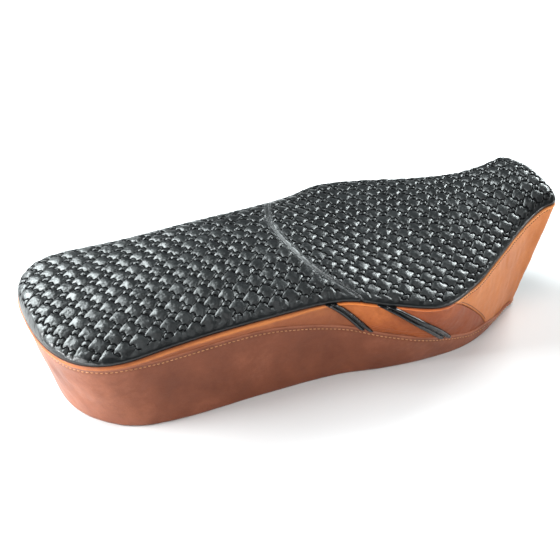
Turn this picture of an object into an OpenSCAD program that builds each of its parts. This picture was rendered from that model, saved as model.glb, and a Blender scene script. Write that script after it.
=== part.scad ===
// Dual motorcycle seat: a moulded pan, a shaped foam cushion, a quilted two-piece top,
// and leather sides with padded panels, cheek panels and a stitched lower skirt.
// +X points to the front of the motorcycle, +Y to its left, and the hem lies at Z = 0.

/* [Overall size] */
// Length from the rear edge to the tip of the nose
seat_l = 630; // [580:5:680]
// Width of the passenger pad
pillion_w = 226; // [210:2:244]
// Width at the rider's hips
rider_w = 308; // [290:2:330]
// Width of the nose
nose_w = 126; // [116:2:140]
// Height of the top edge at the passenger pad
pillion_h = 104; // [96:1:120]
// Height of the top edge at the bottom of the rider's scoop
scoop_h = 92; // [84:1:104]
// Height of the top edge at the tip of the nose
nose_h = 130; // [120:1:145]

/* [Top] */
// Height of the crown along the centre line
crown_h = 10; // [4:1:16]
// Rise of the rolled edge above the top edge
roll_h = 4.3; // [2:0.1:8]
// Width of the rolled edge
roll_w = 22; // [14:1:30]
// Length over which the rear end rounds off
rear_round = 95; // [80:1:110]
// Length over which the nose rounds off
nose_round = 19; // [15:1:30]
// How far the hem is tucked in under the rear end
rear_tuck = 26; // [10:1:35]
// How far the hem is set back under the nose
nose_tuck = 47; // [30:1:55]

/* [Layers] */
// Thickness of the leather with its lining
leather_t = 2.4; // [1.6:0.1:3]
// Thickness of the sewn pad behind the side panels
pad_t = 6; // [4:0.5:8]
// Thickness of the wadding quilted to the top
wadding_t = 8; // [5:0.5:12]
// Width of the folded seam across the top
welt_w = 5; // [3:0.5:7]
// Width of the pull strip stapled under the pan
hem_w = 20; // [14:1:22]
// Thickness of the pull strip
hem_t = 1.2; // [0.8:0.1:2]

/* [Pan] */
// Wall thickness of the pan's rim and floor
pan_t = 4; // [3:0.5:5]
// Height of the pan floor's underside above the hem
floor_z = 24; // [18:1:28]
// Height of the stiffening ribs under the floor
rib_h = 8; // [4:1:10]
// Thickness of the ribs
rib_t = 3; // [2:0.5:4]

/* [Mounting] */
// Height of the mounting faces above the hem
mount_z = 5; // [3:0.5:8]
// Distance between the two rear bolts
bolt_span = 92; // [84:2:100]
// Diameter of the holes for the rear bolts
bolt_hole_d = 8.4; // [8.2:0.1:9]
// Width of the front tongue
tongue_w = 56; // [40:2:70]
// Free length of the front tongue
tongue_free = 34; // [24:1:40]
// Thickness of the steel plates
steel_t = 3; // [2:0.5:4]
// Diameter of a rubber buffer
buffer_d = 30; // [24:1:34]

/* [Hidden] */

x0 = -seat_l / 2;
x1 = seat_l / 2;

// Along the length: position, height of the top edge, half width there and at the hem
stations = [
    [-0.50 * seat_l, pillion_h - 9, pillion_w / 2 + 15, pillion_w / 2 - 17],
    [-0.30 * seat_l, pillion_h - 4, pillion_w / 2, pillion_w / 2 - 4],
    [-0.14 * seat_l, pillion_h, pillion_w / 2 - 1, pillion_w / 2 - 7],
    [0.00 * seat_l, pillion_h, pillion_w / 2 + 3, pillion_w / 2 - 6],
    [0.08 * seat_l, scoop_h + 4, rider_w / 2 - 19, rider_w / 2 - 37],
    [0.16 * seat_l, scoop_h, rider_w / 2, rider_w / 2 - 32],
    [0.24 * seat_l, scoop_h + 3, rider_w / 2 - 17, rider_w / 2 - 35],
    [0.32 * seat_l, scoop_h + 9.5, rider_w / 2 - 48, rider_w / 2 - 52],
    [0.40 * seat_l, nose_h - 18, nose_w / 2 + 12, nose_w / 2 + 19],
    [0.46 * seat_l, nose_h - 5.5, nose_w / 2 - 1, nose_w / 2 + 4],
    [0.50 * seat_l, nose_h, nose_w / 2 + 2, nose_w / 2 - 5]];

// Along the length: position, and how far down the side the skirt's top edge runs
skirt_line = [[x0, 0.03], [-0.40 * seat_l, 0.03], [-0.32 * seat_l, 0.09],
    [-0.21 * seat_l, 0.10], [-0.14 * seat_l, 0.115], [-0.09 * seat_l, 0.17],
    [0, 0.30], [0.08 * seat_l, 0.41], [0.16 * seat_l, 0.54], [0.21 * seat_l, 0.66],
    [0.26 * seat_l, 0.78], [0.32 * seat_l, 0.84], [0.40 * seat_l, 0.95], [x1, 0.95]];

// Seams down the side: position along the length at the top edge and at the skirt
strip_rear_back = [-22, 17];
strip_rear_front = [-8, 35];
strip_front_back = [33, 107];
strip_front_front = [53, 131];
cheek_seam = [116, 197];

rear_power = 2.5;
nose_power = 3.1;
// Room left between layers that are made of separate sheets
gap = 0.5;
pad_inset = leather_t + gap;
core_inset = leather_t + pad_t + 2 * gap;
wadding_top = leather_t + gap;
core_depth = wadding_top + wadding_t + gap;
rim_inset = leather_t + 0.8;
wall_inset = rim_inset + hem_w - pan_t;
bay_inset = wall_inset + pan_t;
rim_z = 1.8;
floor_top = floor_z + pan_t;
across = [-1, -0.97, -0.92, -0.84, -0.6, -0.3, 0, 0.3, 0.6, 0.84, 0.92, 0.97, 1];

bracket_x = -0.33 * seat_l;
bracket_size = [36, 60];
tongue_x = 0.26 * seat_l;
tongue_base = 44;
tongue_z = 10;
rivet_d = 5;
// Places of the buffers on the right-hand side
buffer_rear = [-0.22 * seat_l, -66];
buffer_middle = [0.06 * seat_l, -70];
buffer_front = [0.22 * seat_l, -58];
stem_d = 9;
rib_places = [-0.40, -0.26, -0.14, -0.02, 0.12, 0.28];
vent_places = [-0.20, -0.08, 0.05, 0.32];
vent_d = 10;
rows = 6;

// ---- curves ----
function smooth(t) = let (c = min(max(t, 0), 1)) c * c * (3 - 2 * c);
function segment(table, x, i = 0) =
    i >= len(table) - 2 || x < table[i + 1][0] ? i : segment(table, x, i + 1);
function slope(table, i, col) =
    let (a = max(i - 1, 0), b = min(i + 1, len(table) - 1))
    (table[b][col] - table[a][col]) / (table[b][0] - table[a][0]);
// Smooth curve through a column of a table
function curve(table, x, col = 1) =
    let (i = segment(table, x), span = table[i + 1][0] - table[i][0],
        t = (x - table[i][0]) / span,
        m0 = slope(table, i, col) * span, m1 = slope(table, i + 1, col) * span)
    (2 * t ^ 3 - 3 * t ^ 2 + 1) * table[i][col] + (t ^ 3 - 2 * t ^ 2 + t) * m0
    + (3 * t ^ 2 - 2 * t ^ 3) * table[i + 1][col] + (t ^ 3 - t ^ 2) * m1;

function edge_z(x) = curve(stations, x, 1);
function edge_w(x) = curve(stations, x, 2);
function hem_half(x) = curve(stations, x, 3);
function skirt_at(x) = curve(skirt_line, x);
function hem_x(x) = x + rear_tuck * (1 - smooth((x - x0) / 160))
    - nose_tuck * smooth((x - x1 + 150) / 150);
// Share of the full width left at a place near either end
function round_off(x) =
    let (r = min(max((x0 + rear_round - x) / rear_round, 0), 1),
        f = min(max((x - x1 + nose_round) / nose_round, 0), 1))
    (1 - r ^ rear_power) ^ (1 / rear_power) * (1 - f ^ nose_power) ^ (1 / nose_power);

// Places along the length, closer together where the ends round off
waist_x = 20;
rear_places = [for (a = [0, 3, each [10:10:90]]) x0 + rear_round * (1 - cos(a) ^ 0.8)];
pillion_places = [for (i = [1:10]) (x0 + rear_round) * (1 - i / 10) + waist_x * i / 10];
rider_places = [for (i = [1:22]) waist_x + (x1 - nose_round - waist_x) * i / 22];
nose_places = [for (f = [0.5, 0.75, 0.9, 0.98, 0.998, 1]) x1 - nose_round * (1 - f)];
places = concat(rear_places, pillion_places, rider_places, nose_places);
last = len(places) - 1;
inner_places = [for (i = [1:last - 1]) places[i]];

// A point on the side: t runs from the top edge to the hem, in is the depth inward
function side_point(x, t, in, side = -1) =
    let (s = round_off(x), xi = x * (1 - 2 * in / seat_l))
    (1 - t) * [xi, side * s * (edge_w(xi) - in), edge_z(xi) - leather_t - gap]
    + t * [hem_x(xi), side * s * (hem_half(xi) - in), 0];
// A point on the top: v runs across from -1 to 1
function top_point(x, v, depth, in) =
    let (s = round_off(x), xi = x * (1 - 2 * in / seat_l), half = s * edge_w(xi),
        y = v * s * (edge_w(xi) - in), d = min(half - abs(y), xi - x0, x1 - xi),
        q = min(max(1 - d / roll_w, 0), 1))
    [xi, y, edge_z(xi) + crown_h * (1 - (y / half) ^ 2) * min(half / 50, 1)
        + roll_h * sqrt(1 - q ^ 2) - depth];
// Across the top, the seam between the two covers bows forward towards its ends
function seam_x(y) = -15 + 33 * (abs(y) / 115) ^ 2.5;
// A row across the top that moves from a straight place to the bowed seam
function top_row(x, bow, shift, depth, in) =
    [for (v = across) let (xs = seam_x(v * edge_w(0)) + shift)
        top_point(x + (xs - x) * bow, v, depth, in)];
// The hem's outline, set inward
function hem_ring(in) = [for (p = ring_places()) let (q = side_point(p[0], 1, in, p[1]))
    [q[0], q[1]]];
// Places round the whole outline, each with its side
function ring_places() = concat([for (i = [0:last]) [places[i], -1]],
    [for (i = [last - 1:-1:1]) [places[i], 1]]);
function reverse(list) = [for (i = [len(list) - 1:-1:0]) list[i]];

// ---- solids from sections ----
// Skins a row of sections; point b of each end section pairs with its opposite point
module loft(sections, closed = false) {
    n = len(sections);
    m = len(sections[0]);
    wrap = closed ? n - 1 : n - 2;
    sides = [for (a = [0:wrap], b = [0:m - 1])
        let (p = a * m + b, q = a * m + (b + 1) % m,
            r = (a + 1) % n * m + b, s = (a + 1) % n * m + (b + 1) % m)
        each [[p, q, s], [p, s, r]]];
    z = (n - 1) * m;
    caps = closed ? [] : [for (b = [0:m / 2 - 2])
        each [[b, m - 1 - b, m - 2 - b], [b, m - 2 - b, b + 1],
            [z + b, z + m - 2 - b, z + m - 1 - b], [z + b, z + b + 1, z + m - 2 - b]]];
    polyhedron([for (s = sections) each s], concat(sides, caps));
}
// A sheet on the top between two depths, from one end to the seam across the top
module top_sheet(ends, depth_a, depth_b, in) {
    rear = ends[0] < 0;
    shift = (rear ? -0.5 : 0.5) * welt_w;
    bows = [for (i = [1:4]) i / 4];
    x = rear ? ends[len(ends) - 1] : ends[0];
    straight = [for (p = ends) [p, 0]];
    bowed = [for (b = bows) [x, b]];
    loft([for (r = rear ? concat(straight, bowed) : concat(reverse(bowed), straight))
        concat(top_row(r[0], r[1], shift, depth_a, in),
            reverse(top_row(r[0], r[1], shift, depth_b, in)))]);
}
// One section of a side skin, at a slanted line given by its ends along the length
function side_row(line, in) = [for (i = [0:rows])
    let (x = line[0] + (line[1] - line[0]) * i / rows)
    side_point(x, skirt_at(x) * i / rows, in)];
// A skin on the right side that runs through slanted lines, down to the skirt's edge
module side_skin(lines, proud = 0) loft([for (line = lines)
    concat(side_row(line, -proud), reverse(side_row(line, leather_t)))]);
function between(a, b, n) = [for (i = [0:n]) a + (b - a) * i / n];
function upright(list) = [for (x = list) [x, x]];
module left() mirror([0, 1, 0]) children();

rear_list = [for (x = inner_places) if (x < -60) x];
front_list = [for (x = inner_places) if (x > 55) x];
panel_list = [for (x = places) if (x < -60) x];
cheek_list = [x1 - nose_round, x1 - nose_round / 2, x1 - nose_round / 4];

// ---- covers ----
module top_cover_rear() color("#1c2022") top_sheet(rear_list, 0, leather_t, 0);
module top_cover_front() color("#22272a") top_sheet(front_list, 0, leather_t, 0);
module cross_seam_welt() color("#0e1011") {
    proud = 0.8;
    back = [top_row(0, 1, -welt_w / 2, -proud, 0), top_row(0, 1, -welt_w / 2, leather_t, 0)];
    front = [top_row(0, 1, welt_w / 2, -proud, 0), top_row(0, 1, welt_w / 2, leather_t, 0)];
    loft([for (i = [0:len(across) - 1]) [back[0][i], front[0][i], front[1][i], back[1][i]]]);
}
module side_panel_rear() color("#a85428") {
    rear_end = panel_list[len(panel_list) - 1];
    side_skin(concat(upright(panel_list), [for (i = [1:4]) let (f = i / 4)
        [rear_end, rear_end] * (1 - f) + strip_rear_back * f]));
}
module side_panel_middle() color("#c05f28")
    side_skin(between(strip_rear_front, strip_front_back, 8));
module side_panel_front() color("#8f4a2c")
    side_skin(between(strip_front_front, cheek_seam, 8));
module strip_rear() color("#111416")
    side_skin(between(strip_rear_back, strip_rear_front, 3), 1.6);
module strip_front() color("#111416")
    side_skin(between(strip_front_back, strip_front_front, 3), 1.6);
module cheek() color("#c0754a") side_skin(concat(
    between(cheek_seam, [cheek_list[0], cheek_list[0]], 14),
    upright([cheek_list[1], cheek_list[2]])));
module nose_panel() color("#1c2022")
    loft([for (p = ring_places()) if (p[0] >= cheek_list[2])
        let (levels = [for (i = [0:rows]) skirt_at(p[0]) * i / rows])
        concat([for (t = levels) side_point(p[0], t, 0, p[1])],
            [for (t = reverse(levels)) side_point(p[0], t, leather_t, p[1])])]);
module lower_skirt() color("#6b3a28")
    loft([for (p = ring_places())
        let (top = skirt_at(p[0]) + gap / edge_z(p[0]),
            levels = [for (u = [0:0.25:1]) top + (1 - top) * u])
        concat([for (t = levels) side_point(p[0], t, 0, p[1])],
            [for (t = reverse(levels)) side_point(p[0], t, leather_t, p[1])])], true);
module ring(outer, inner, z, height) translate([0, 0, z])
    linear_extrude(height) difference() {
        polygon(hem_ring(outer));
        polygon(hem_ring(inner));
    }

// Places one child on the middle of every side of the hem's outline
module along_hem(in) {
    line = hem_ring(in);
    for (i = [0:len(line) - 1]) {
        a = line[i];
        b = line[(i + 1) % len(line)];
        middle = (a + b) / 2;
        along = b - a;
        translate([middle[0], middle[1], 0]) rotate(atan2(along[1], along[0]))
            children();
    }
}
crown_l = 10;
leg_h = 4.4;
staple_w = 1.2;
staple_t = rim_z - hem_t;
module staple_legs(height) for (side = [-1, 1])
    translate([side * (crown_l - staple_t) / 2, 0, height / 2])
        cube([staple_t, staple_w, height], center = true);
module pull_strip() color("#26292b") difference() {
    ring(rim_inset, rim_inset + hem_w, rim_z - hem_t, hem_t);
    along_hem(hem_w * 0.6) staple_legs(leg_h);
}
module staples() color("silver") along_hem(hem_w * 0.6)
    translate([0, staple_w / 2, 0]) rotate([90, 0, 0]) linear_extrude(staple_w)
        difference() {
            translate([-crown_l / 2, 0]) square([crown_l, leg_h]);
            translate([staple_t - crown_l / 2, staple_t])
                square([crown_l - 2 * staple_t, leg_h]);
        }

// ---- padding ----
module wadding_rear() color("#d8d2c0")
    top_sheet(rear_list, wadding_top, wadding_top + wadding_t, core_inset);
module wadding_front() color("#d8d2c0")
    top_sheet(front_list, wadding_top, wadding_top + wadding_t, core_inset);
module side_pad() color("#d8d2c0")
    loft([for (p = ring_places())
        let (low = skirt_at(p[0]), levels = [for (u = [0:0.5:1]) low * u])
        concat([for (t = levels) side_point(p[0], t, pad_inset, p[1])],
            [for (t = reverse(levels))
                side_point(p[0], t, core_inset - gap, p[1])])], true);
// Half of the foam's section, from the middle of its underside up to the middle of its top
function at_hem(x, in, z) = let (q = side_point(x, 1, in)) [q[0], q[1], z];
function foam_half(x) =
    let (low = skirt_at(x), shoulder = low + 2 * gap / edge_z(x))
    concat([at_hem(x, wall_inset - gap, floor_top), at_hem(x, wall_inset - gap, rim_z + pan_t),
        at_hem(x, rim_inset, rim_z + pan_t)],
        [for (u = [0.08, 0.4, 0.7, 1]) side_point(x, 0.92 + (shoulder - 0.92) * u, pad_inset)],
        [side_point(x, shoulder, core_inset)],
        [for (v = across) if (v <= 0) top_point(x, v, core_depth, core_inset)]);
function flip(p) = [p[0], -p[1], p[2]];
module foam_cushion() color("#c9b458")
    loft([for (x = inner_places) let (half = foam_half(x))
        concat(half, reverse([for (p = half) flip(p)]))]);

// ---- pan ----
module seat_pan() color("#1a1a1c") difference() {
    union() {
        ring(rim_inset, bay_inset, rim_z, pan_t);
        ring(wall_inset, bay_inset, rim_z, floor_top - rim_z);
        translate([0, 0, floor_z]) linear_extrude(pan_t) polygon(hem_ring(bay_inset));
        ribs();
        bosses();
    }
    along_hem(hem_w * 0.6) staple_legs(leg_h);
    buffer_places() translate([0, 0, floor_z - 1])
        cylinder(d = stem_d, h = pan_t + 2, $fn = 48);
    bracket_places() bracket_holes(mount_z - 1, floor_top + 1, bolt_hole_d + 5);
    tongue_holes(tongue_z - 1, floor_top + 1);
    for (share = vent_places) translate([share * seat_l, 0, floor_z - 1])
        cylinder(d = vent_d, h = pan_t + 2, $fn = 48);
}
module ribs() intersection() {
    translate([0, 0, floor_z - rib_h]) linear_extrude(rib_h)
        polygon(hem_ring(bay_inset));
    union() {
        for (share = rib_places)
            translate([share * seat_l - rib_t / 2, -pillion_w, floor_z - rib_h])
                cube([rib_t, 2 * pillion_w, rib_h]);
        for (side = [-1, 1])
            translate([x0, side * 32 - rib_t / 2, floor_z - rib_h])
                cube([seat_l, rib_t, rib_h]);
    }
}
module bosses() {
    bracket_places() translate([0, 0, (mount_z + steel_t + floor_z) / 2])
        cube([bracket_size[0], bracket_size[1], floor_z - mount_z - steel_t],
            center = true);
    translate([tongue_x - tongue_base, -tongue_w / 2, tongue_z + steel_t])
        cube([tongue_base, tongue_w, floor_z - tongue_z - steel_t]);
}
module bracket_places() for (side = [-1, 1])
    translate([bracket_x, side * bolt_span / 2, 0]) children();
rivet_step = 22;
module rivet_pair() for (side = [-1, 1]) translate([0, side * rivet_step, 0]) children();
module bracket_holes(low, high, big_d) {
    translate([0, 0, low]) cylinder(d = big_d, h = high - low, $fn = 48);
    rivet_pair() translate([0, 0, low]) cylinder(d = rivet_d, h = high - low, $fn = 48);
}
module tongue_spots() for (side = [-1, 1])
    translate([tongue_x - tongue_base / 2, side * tongue_w * 0.3, 0]) children();
module tongue_holes(low, high) tongue_spots() translate([0, 0, low])
    cylinder(d = rivet_d, h = high - low, $fn = 48);

// ---- mounting ----
module rear_bracket(side) color("#8d9296")
    translate([bracket_x, side * bolt_span / 2, 0]) difference() {
        translate([0, 0, mount_z + steel_t / 2])
            cube([bracket_size[0], bracket_size[1], steel_t], center = true);
        bracket_holes(mount_z - 1, mount_z + steel_t + 1, bolt_hole_d);
    }
module front_tongue() color("#8d9296") difference() {
    translate([tongue_x - tongue_base, -tongue_w / 2, tongue_z])
        cube([tongue_base + tongue_free, tongue_w, steel_t]);
    tongue_holes(tongue_z - 1, tongue_z + steel_t + 1);
    for (side = [-1, 1])
        translate([tongue_x + tongue_free, side * tongue_w / 2, tongue_z - 1])
            rotate(45) cube([14, 14, 3 * steel_t], center = true);
}
// A tubular rivet: flat head below a plate, shank up to the floor's top face
module rivet(head_z) {
    head_t = 1.4;
    translate([0, 0, head_z - head_t]) cylinder(d = rivet_d * 2, h = head_t, $fn = 48);
    translate([0, 0, head_z - head_t / 2])
        cylinder(d = rivet_d, h = floor_top - head_z + head_t / 2, $fn = 48);
}
module tongue_rivets() color("silver") tongue_spots() rivet(tongue_z);
module bracket_rivets() color("silver") bracket_places() rivet_pair() rivet(mount_z);
nut_h = 8;
module weld_nuts() color("#b0b4b8") bracket_places()
    translate([0, 0, mount_z + steel_t]) difference() {
        cylinder(d = bolt_hole_d + 5, h = nut_h, $fn = 48);
        translate([0, 0, -1]) cylinder(d = bolt_hole_d - 0.4, h = nut_h + 2, $fn = 48);
    }
module buffer_places() for (p = [buffer_rear, buffer_middle, buffer_front], s = [1, -1])
    translate([p[0], s * p[1], 0]) children();
module buffer(place) color("#202224") translate([place[0], place[1], 0])
    rotate_extrude($fn = 64) polygon([[0, mount_z], [buffer_d / 2 - 3, mount_z],
        [buffer_d / 2 - 1, mount_z + 1.5], [buffer_d / 2, mount_z + 5],
        [buffer_d / 2, floor_z], [stem_d / 2, floor_z], [stem_d / 2, floor_top],
        [0, floor_top]]);

seat_pan();
foam_cushion();
wadding_rear();
wadding_front();
side_pad();
top_cover_rear();
top_cover_front();
cross_seam_welt();
side_panel_rear();  // side_panel_rear_right
left() side_panel_rear();  // side_panel_rear_left
side_panel_middle();  // side_panel_middle_right
left() side_panel_middle();  // side_panel_middle_left
side_panel_front();  // side_panel_front_right
left() side_panel_front();  // side_panel_front_left
strip_rear();  // strip_rear_right
left() strip_rear();  // strip_rear_left
strip_front();  // strip_front_right
left() strip_front();  // strip_front_left
cheek();  // cheek_right
left() cheek();  // cheek_left
nose_panel();
lower_skirt();
pull_strip();
staples();
front_tongue();
tongue_rivets();
rear_bracket(-1);  // rear_bracket_right
rear_bracket(1);  // rear_bracket_left
bracket_rivets();
weld_nuts();
buffer(buffer_rear);  // buffer_rear_right
left() buffer(buffer_rear);  // buffer_rear_left
buffer(buffer_middle);  // buffer_middle_right
left() buffer(buffer_middle);  // buffer_middle_left
buffer(buffer_front);  // buffer_front_right
left() buffer(buffer_front);  // buffer_front_left
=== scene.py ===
"""Looks of the dual motorcycle seat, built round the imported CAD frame.

Surfaces repeat the design's own curves in millimetres, and make_object() turns them into
metres. +X is the front of the motorcycle, +Y its left, +Z up.
"""

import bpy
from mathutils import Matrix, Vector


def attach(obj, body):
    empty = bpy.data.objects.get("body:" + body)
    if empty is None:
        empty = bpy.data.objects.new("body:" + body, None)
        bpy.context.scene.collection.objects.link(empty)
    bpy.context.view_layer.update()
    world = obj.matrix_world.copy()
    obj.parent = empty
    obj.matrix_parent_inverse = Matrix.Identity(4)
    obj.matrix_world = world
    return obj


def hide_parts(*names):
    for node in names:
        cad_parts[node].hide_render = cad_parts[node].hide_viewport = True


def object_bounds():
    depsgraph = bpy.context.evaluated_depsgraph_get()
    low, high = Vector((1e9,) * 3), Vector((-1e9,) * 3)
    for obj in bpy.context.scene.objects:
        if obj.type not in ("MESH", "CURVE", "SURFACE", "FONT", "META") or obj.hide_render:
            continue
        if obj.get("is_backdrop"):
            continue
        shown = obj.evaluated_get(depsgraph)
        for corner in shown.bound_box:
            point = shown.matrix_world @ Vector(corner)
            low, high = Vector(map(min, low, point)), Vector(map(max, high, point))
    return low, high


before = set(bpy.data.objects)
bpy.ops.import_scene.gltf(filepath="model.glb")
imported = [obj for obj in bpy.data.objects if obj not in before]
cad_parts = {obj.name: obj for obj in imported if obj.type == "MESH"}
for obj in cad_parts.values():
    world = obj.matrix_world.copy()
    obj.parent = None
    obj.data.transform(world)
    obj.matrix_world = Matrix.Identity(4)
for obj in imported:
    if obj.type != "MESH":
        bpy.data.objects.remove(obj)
low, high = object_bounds()

import math

import bpy
import bmesh
import numpy as np
from mathutils import Vector

# ---- sizes of the design, in millimetres ----
SEAT_L = round((high[0] - low[0]) * 1000)
PILLION_W, RIDER_W, NOSE_W = 226, 308, 126
PILLION_H, SCOOP_H, NOSE_H = 104, 92, 130
CROWN_H, ROLL_H, ROLL_W = 10, 4.3, 22
REAR_ROUND, NOSE_ROUND, REAR_TUCK, NOSE_TUCK = 95, 19, 26, 47
LEATHER, GAP, WELT_W, HEM_W = 2.4, 0.5, 5, 20
X0, X1 = -SEAT_L / 2, SEAT_L / 2

# Place along the length, height of the top edge, half width there and at the hem
STATIONS = np.array([
    [-0.50 * SEAT_L, PILLION_H - 9, PILLION_W / 2 + 15, PILLION_W / 2 - 17],
    [-0.30 * SEAT_L, PILLION_H - 4, PILLION_W / 2, PILLION_W / 2 - 4],
    [-0.14 * SEAT_L, PILLION_H, PILLION_W / 2 - 1, PILLION_W / 2 - 7],
    [0.00 * SEAT_L, PILLION_H, PILLION_W / 2 + 3, PILLION_W / 2 - 6],
    [0.08 * SEAT_L, SCOOP_H + 4, RIDER_W / 2 - 19, RIDER_W / 2 - 37],
    [0.16 * SEAT_L, SCOOP_H, RIDER_W / 2, RIDER_W / 2 - 32],
    [0.24 * SEAT_L, SCOOP_H + 3, RIDER_W / 2 - 17, RIDER_W / 2 - 35],
    [0.32 * SEAT_L, SCOOP_H + 9.5, RIDER_W / 2 - 48, RIDER_W / 2 - 52],
    [0.40 * SEAT_L, NOSE_H - 18, NOSE_W / 2 + 12, NOSE_W / 2 + 19],
    [0.46 * SEAT_L, NOSE_H - 5.5, NOSE_W / 2 - 1, NOSE_W / 2 + 4],
    [0.50 * SEAT_L, NOSE_H, NOSE_W / 2 + 2, NOSE_W / 2 - 5]])
# Place along the length, and where the skirt starts as a share of the way down
SKIRT_LINE = np.array([
    [X0, 0.03], [-0.40 * SEAT_L, 0.03], [-0.32 * SEAT_L, 0.09], [-0.21 * SEAT_L, 0.10],
    [-0.14 * SEAT_L, 0.115], [-0.09 * SEAT_L, 0.17], [0, 0.30], [0.08 * SEAT_L, 0.41],
    [0.16 * SEAT_L, 0.54], [0.21 * SEAT_L, 0.66], [0.26 * SEAT_L, 0.78],
    [0.32 * SEAT_L, 0.84], [0.40 * SEAT_L, 0.95], [X1, 0.95]])

# Seams down the side: place along the length at the top edge and at the hem
STRIP_REAR = [(-22, 17), (-8, 35)]
STRIP_FRONT = [(33, 107), (53, 131)]
CHEEK_SEAM = (116, 197)
CHEEK_END = X1 - NOSE_ROUND / 4


# ---- the design's curves, for arrays ----
def smooth(t):
    c = np.clip(t, 0, 1)
    return c * c * (3 - 2 * c)


def arch(share, power=1.0):
    """A rise from 0 to 1 and back as share runs from 0 to 1."""
    return np.sin(np.pi * np.clip(share, 0, 1)) ** power


def curve(table, x, col=1):
    """A smooth curve through a table's points: column 0 is the place, col the value."""
    xs, ys = table[:, 0], table[:, col]
    a = np.maximum(np.arange(len(xs)) - 1, 0)
    b = np.minimum(np.arange(len(xs)) + 1, len(xs) - 1)
    slope = (ys[b] - ys[a]) / (xs[b] - xs[a])
    i = np.clip(np.searchsorted(xs, x, side="right") - 1, 0, len(xs) - 2)
    span = xs[i + 1] - xs[i]
    t = (x - xs[i]) / span
    return ((2 * t**3 - 3 * t**2 + 1) * ys[i] + (t**3 - 2 * t**2 + t) * slope[i] * span
            + (3 * t**2 - 2 * t**3) * ys[i + 1] + (t**3 - t**2) * slope[i + 1] * span)


def edge_z(x):
    return curve(STATIONS, x, 1)


def edge_w(x):
    return curve(STATIONS, x, 2)


def hem_half(x):
    return curve(STATIONS, x, 3)


def skirt_at(x):
    return curve(SKIRT_LINE, x)


def hem_x(x):
    """Where a line down the side meets the hem: both ends of the seat lean in."""
    return (x + REAR_TUCK * (1 - smooth((x - X0) / 160))
            - NOSE_TUCK * smooth((x - X1 + 150) / 150))


def round_off(x):
    """Share of the full half width at the rounded rear and nose."""
    r = np.clip((X0 + REAR_ROUND - x) / REAR_ROUND, 0, 1)
    f = np.clip((x - X1 + NOSE_ROUND) / NOSE_ROUND, 0, 1)
    return (1 - r**2.5) ** (1 / 2.5) * (1 - f**3.1) ** (1 / 3.1)


def side_point(x, t, inward, side):
    """Points on the side: t runs from the top edge to the hem."""
    s = round_off(x)
    xi = x * (1 - 2 * inward / SEAT_L)
    top = np.stack([xi, side * s * (edge_w(xi) - inward), edge_z(xi) - LEATHER - GAP], -1)
    hem = np.stack([hem_x(xi), side * s * (hem_half(xi) - inward), 0 * xi], -1)
    t = np.asarray(t)[..., None]
    return (1 - t) * top + t * hem


def top_point(x, v):
    """Points on the top and their distance from its edge: v runs across from -1 to 1."""
    half = round_off(x) * edge_w(x)
    y = v * half
    d = np.minimum(np.minimum(half - np.abs(y), x - X0), X1 - x)
    q = np.clip(1 - d / ROLL_W, 0, 1)
    crown = CROWN_H * (1 - v * v) * np.minimum(half / 50, 1)
    z = edge_z(x) + crown + ROLL_H * np.sqrt(1 - q * q)
    return np.stack([x + 0 * v, y, z], -1), d


def seam_x(y):
    """The bowed seam between the two covers."""
    return -15 + 33 * (np.abs(y) / 115) ** 2.5


# ---- numbers along a surface ----
def normals(grid, outward):
    """Unit normals of a grid; outward(middle point) is a direction to agree with."""
    du, dv = np.gradient(grid, axis=0), np.gradient(grid, axis=1)
    n = np.cross(du, dv)
    size = np.linalg.norm(n, axis=-1, keepdims=True)
    bad = size[..., 0] < 1e-7
    n = n / np.maximum(size, 1e-7)
    if bad.any():
        good = np.where(~bad.any(axis=1))[0]
        for i in np.where(bad.any(axis=1))[0]:
            n[i] = n[good[np.argmin(np.abs(good - i))]]
    i, j = grid.shape[0] // 2, grid.shape[1] // 2
    return n if n[i, j] @ np.asarray(outward(grid[i, j]), float) > 0 else -n


def lengths(grid, axis):
    """Distance along the rows or columns of a grid, from its start."""
    step = np.linalg.norm(np.diff(grid, axis=axis), axis=-1)
    zero = np.zeros_like(np.take(step, [0], axis=axis))
    return np.concatenate([zero, np.cumsum(step, axis=axis)], axis=axis)


def bead(d, centre, width, height):
    """A smooth ridge along the line where d is centre."""
    return height * np.exp(-(((d - centre) / width) ** 2))


def rounded(d, r):
    """How far a surface lies back at distance d from a rounded edge."""
    q = np.clip(1 - d / r, 0, 1)
    return r * (np.sqrt(1 - q * q) - 1)


def ripples(p, size, seed, stretch=(1, 1, 1)):
    """Smooth seeded noise from -1 to 1 at points p, with features about size mm across."""
    rng = np.random.default_rng(seed)
    q = p * np.asarray(stretch, float)
    total = np.zeros(p.shape[:-1])
    for octave in range(3):
        for _ in range(5):
            k = rng.normal(size=3)
            k *= 2 * math.pi / (size / 1.9**octave) / np.linalg.norm(k)
            total = total + np.sin(q @ k + rng.uniform(0, 6.28)) * 0.6**octave / 3.2
    return np.tanh(total)


def spaced(total, fine, coarse):
    """Places from 0 to total, fine at both ends and coarse in between."""
    places = [0.0]
    while places[-1] < total / 2:
        places.append(places[-1] + fine + (coarse - fine) * min(places[-1] / 7, 1))
    head = np.array(places) * (total / 2 / places[-1])
    return np.concatenate([head, total - head[-2::-1]])


def lines_from(ends, step):
    """Slanted lines through the given ones, about step apart at their wider end."""
    out = [ends[0]]
    for a, b in zip(ends, ends[1:]):
        n = max(1, math.ceil(max(abs(b[0] - a[0]), abs(b[1] - a[1])) / step))
        out += [(a[0] + (b[0] - a[0]) * i / n, a[1] + (b[1] - a[1]) * i / n)
                for i in range(1, n + 1)]
    return np.array(out)


# ---- meshes ----
WELD, SLIVER = 2e-6, 1e-6  # metres: points closer than this are one, edges shorter go


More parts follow.
